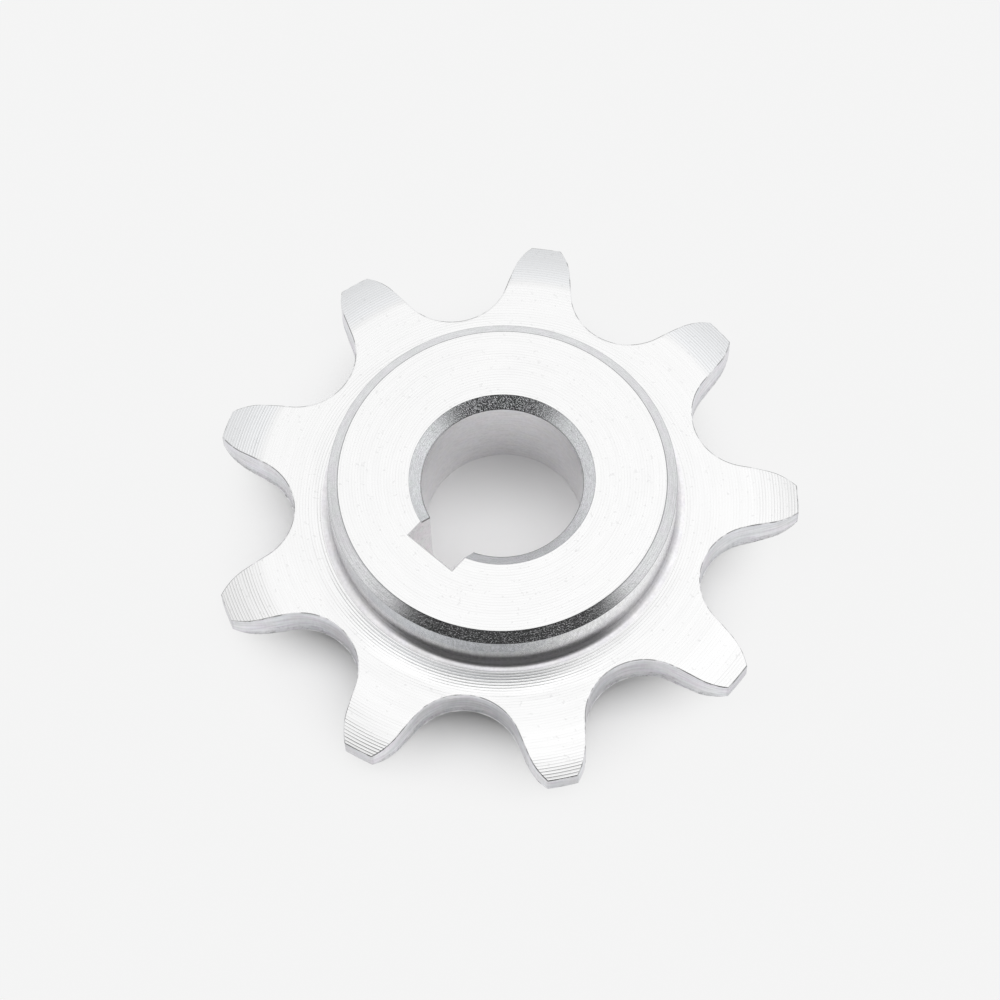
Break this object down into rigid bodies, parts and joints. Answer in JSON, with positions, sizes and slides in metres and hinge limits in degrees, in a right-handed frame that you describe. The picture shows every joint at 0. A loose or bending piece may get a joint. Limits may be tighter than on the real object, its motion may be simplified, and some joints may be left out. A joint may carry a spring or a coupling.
{
  "type": "chain sprocket",
  "caption": "Small roller-chain sprocket with a keyed bore, a long hub on one side and a short boss on the other, turned and toothed from one piece of steel.",
  "frame": {"origin": "on the bore's axis, in the end face of the short boss", "axes": "+Z along the bore towards the end face of the long hub; the keyway opens towards -Y; +X makes the frame right-handed"},
  "size_m": [0.0404, 0.0406, 0.008],
  "materials": {
    "steel": "bright, finely turned faces with milled tooth flanks"
  },
  "bodies": {
    "root": {"sprocket": "steel"}
  },
  "joints": []
}
